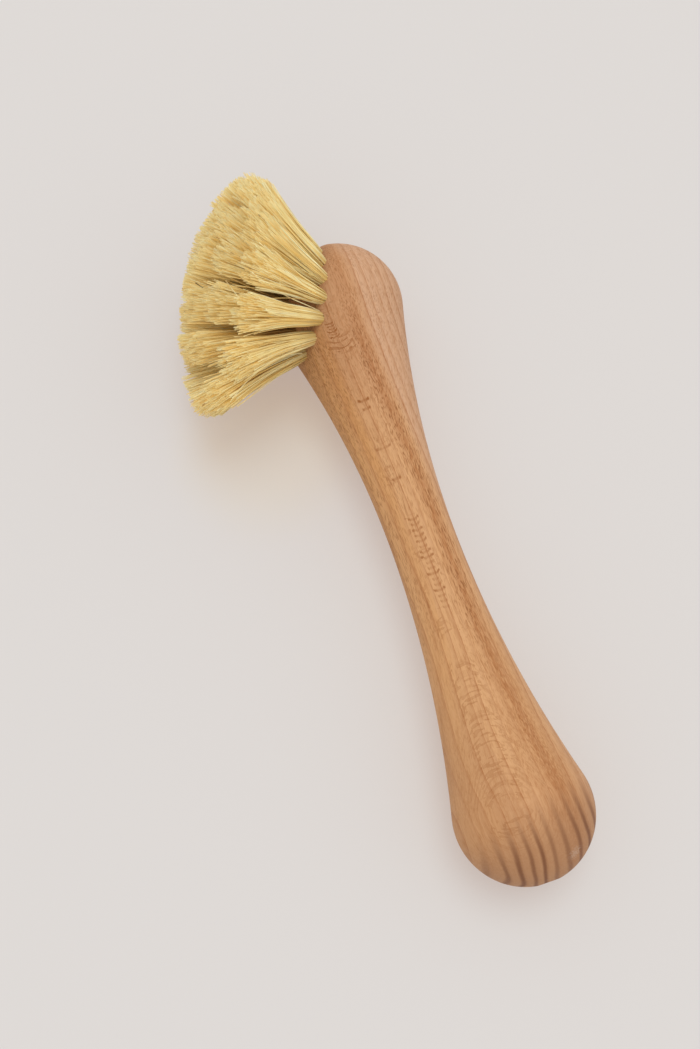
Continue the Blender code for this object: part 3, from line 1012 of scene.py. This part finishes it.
def fibreMaterial():
    look = fibreLook
    material, tree, shader = newMaterial("plant_fibre")
    tint, inside = attributeOf(tree, "tint"), attributeOf(tree, "inside")
    along = attributeOf(tree, "along")
    patch = noise(tree, spotOf(tree)["Object"], look["patchSizes"])
    # painted shade: darker deep in a bundle and at the root, and some strands dimmer at
    # random
    dim = plus(tree, ramp(tree, tint, *look["shadeTints"]),
               ramp(tree, inside, *look["paintedShadeInside"]))
    dim = times(tree, dim, ramp(tree, along, *look["shadeAlong"]))
    dim = maths(tree, "MAXIMUM", dim, ramp(tree, along, *look["paintedShadeAtRoot"]))
    # painted shade, brown, deep in the bundles towards the roots
    deep = times(tree, inside, ramp(tree, along, *look["deepShadeAlong"]))
    colour = mixed(tree, ramp(tree, tint, *look["strawTints"]), look["cream"],
                   look["straw"])
    layers = ((ramp(tree, tint, *look["goldTints"]), "gold"),
              (ramp(tree, patch, *look["goldPatches"]), "gold"),
              (dim, "shade"),
              (ramp(tree, deep, *look["deepShadeInside"]), "brown"),
              (ramp(tree, along, *look["paleTips"]), "cream"),
              (ramp(tree, tint, *look["brownTints"]), "brown"),
              (ramp(tree, tint, *look["darkTints"]), "dark"))
    for share, name in layers:
        colour = mixed(tree, share, colour, look[name])
    rough = ramp(tree, patch, *look["roughness"])
    setSurface(tree, shader, colour, rough, look["specular"])
    through = tree.nodes.new("ShaderNodeBsdfTransparent")
    through.inputs["Color"].default_value = look["throughColour"]
    path = tree.nodes.new("ShaderNodeLightPath").outputs
    lighting = maths(tree, "MAXIMUM", path["Is Shadow Ray"], path["Is Diffuse Ray"])
    both = mixedShader(tree, times(tree, lighting, look["throughShare"]),
                       shader.outputs[0], through.outputs[0])
    tree.links.new(both, tree.nodes["Material Output"].inputs["Surface"])
    return material


# Flat steel wire, drawn lengthwise
steelLook = {
    "bright": (0.58, 0.56, 0.52, 1),
    "dull": (0.36, 0.34, 0.31, 1),
    "drawnSizes": (0.002, 0.0001, 0.0001),
    "dullShare": (0.3, 0.7, 0.0, 0.4),
    "roughness": (0.3, 0.7, 0.34, 0.54),
}


def steelMaterial():
    look = steelLook
    material, tree, shader = newMaterial("flat_steel_wire")
    drawn = noise(tree, spotOf(tree)["Object"], look["drawnSizes"])
    dulled = ramp(tree, drawn, *look["dullShare"])
    colour = mixed(tree, dulled, look["bright"], look["dull"])
    setSurface(tree, shader, colour, ramp(tree, drawn, *look["roughness"]))
    shader.inputs["Metallic"].default_value = 1.0
    return material


def dressWires(material):
    wires = [node for name, node in frame["nodes"].items() if "_wire_" in name]
    for node in wires:
        for place in node.material_slots:
            place.material = material
    print("brush: wires finished,", len(wires))


# The table, the light and the camera. Turns are in degrees, places in metres. Warmths
# are added to a colour.
stageLook = {
    "floorSize": 6.0,
    "floor": (0.72, 0.685, 0.665, 1),
    "floorPaler": 1.02,
    "floorTexture": ((1 / 3, 1 / 3, 1 / 3), 3.0),
    "floorRoughness": 0.85,
    "floorSpecular": 0.2,
    "backdrop": (0.735, 0.70, 0.675, 1),
    "shadowLift": 0.5,
    "shadowWarmth": (0.12, -0.045, -0.11, 0),
    "strawPlace": (-0.020, 0.042, 0),
    "strawReach": (0.012, 0.038, 1.0, 0.0),
    "strawWarmth": (0.02, -0.02, -0.10, 0),
    "skyColour": (1, 1, 1, 1),
    "skyStrength": 0.74,
    "keyStrength": 0.95,
    "keyAngle": 30,
    "keyHeight": 77,
    "keyTurn": 145,
    "keyColour": (1.0, 0.985, 0.965),
}


def seenRay(tree):
    # 1 for what the camera sees, straight or by way of metal and glass
    path = tree.nodes.new("ShaderNodeLightPath").outputs
    either = maths(tree, "MAXIMUM", path["Is Camera Ray"], path["Is Transmission Ray"])
    return maths(tree, "MAXIMUM", either, path["Is Glossy Ray"])


def floorMaterial():
    look = stageLook
    material, tree, shader = newMaterial("pale_table")
    spot = spotOf(tree)["Object"]
    fine = noise(tree, spot, *look["floorTexture"])
    floor, warmth = look["floor"], look["shadowWarmth"]
    paler = tuple(min(1.0, part * look["floorPaler"]) for part in floor[:3]) + (1,)
    colour = mixed(tree, fine, floor, paler)
    seen = seenRay(tree)
    cool = tuple(part - more for part, more in zip(floor, warmth))
    setSurface(tree, shader, mixed(tree, seen, colour, cool), look["floorRoughness"],
               look["floorSpecular"])

    # the camera sees the table's shadows part filled, as on a brightened picture, and
    # warmer than the lit table, most of all where the straw's own light falls
    filled = tuple(part + more for part, more in zip(look["backdrop"], warmth))
    strawy = tuple(part + more for part, more in zip(filled, look["strawWarmth"]))
    apart = distanceTo(tree, spot, look["strawPlace"])
    plain = tree.nodes.new("ShaderNodeEmission")
    tree.links.new(mixed(tree, ramp(tree, apart, *look["strawReach"]), filled, strawy),
                   plain.inputs["Color"])
    both = mixedShader(tree, times(tree, seen, look["shadowLift"]), shader.outputs[0],
                       plain.outputs[0])
    tree.links.new(both, tree.nodes["Material Output"].inputs["Surface"])
    return material


def makeStage():
    half = stageLook["floorSize"] / 2
    corners = np.array(((-1, -1, 0), (1, -1, 0), (1, 1, 0), (-1, 1, 0))) * half
    nothing = np.zeros((0, 3), int)
    mesh = meshFrom("table", corners, np.array(((0, 1, 2, 3),)), nothing, floorMaterial())
    placeInScene("table", mesh)

    world = bpy.data.worlds.new("room")
    bpy.context.scene.world = world
    world.use_nodes = True
    tree = world.node_tree
    tree.nodes.clear()
    light = tree.nodes.new("ShaderNodeBackground")
    light.inputs["Color"].default_value = stageLook["skyColour"]
    light.inputs["Strength"].default_value = stageLook["skyStrength"]
    seen = tree.nodes.new("ShaderNodeBackground")
    seen.inputs["Color"].default_value = stageLook["backdrop"]
    both = mixedShader(tree, seenRay(tree), light.outputs[0], seen.outputs[0])
    tree.links.new(both, tree.nodes.new("ShaderNodeOutputWorld").inputs[0])

    lamp = bpy.data.lights.new("window", "SUN")
    lamp.energy = stageLook["keyStrength"]
    lamp.angle = math.radians(stageLook["keyAngle"])
    lamp.color = stageLook["keyColour"]
    key = placeInScene("window", lamp)
    key.rotation_euler = (math.radians(90 - stageLook["keyHeight"]), 0,
                          math.radians(stageLook["keyTurn"]))


# The camera stands nearly overhead, as in the photograph. Lens and sensor are in
# millimetres.
cameraView = {
    "place": (-0.0448, -0.1185, 0.4647),
    "elevation": 74,
    "turn": -18.84,
    "lens": 50,
    "sensor": 36,
    "nearest": 0.01,
    "farthest": 20,
}


def makeCamera():
    lens = bpy.data.cameras.new("camera")
    lens.lens = cameraView["lens"]
    lens.sensor_width = cameraView["sensor"]
    lens.clip_start = cameraView["nearest"]
    lens.clip_end = cameraView["farthest"]
    camera = placeInScene("camera", lens)
    camera.location = cameraView["place"]
    camera.rotation_euler = (math.radians(90 - cameraView["elevation"]), 0,
                             math.radians(cameraView["turn"]))
    bpy.context.scene.camera = camera


bpy.context.scene.view_settings.view_transform = "Standard"
makeCamera()
makeStage()
print("brush: stage, light and camera set")
makeBody(beechMaterial())
fibre = fibreMaterial()
makeTufts(fibre)
makeLooseStrands(fibre)
dressWires(steelMaterial())

print("brush: finished")
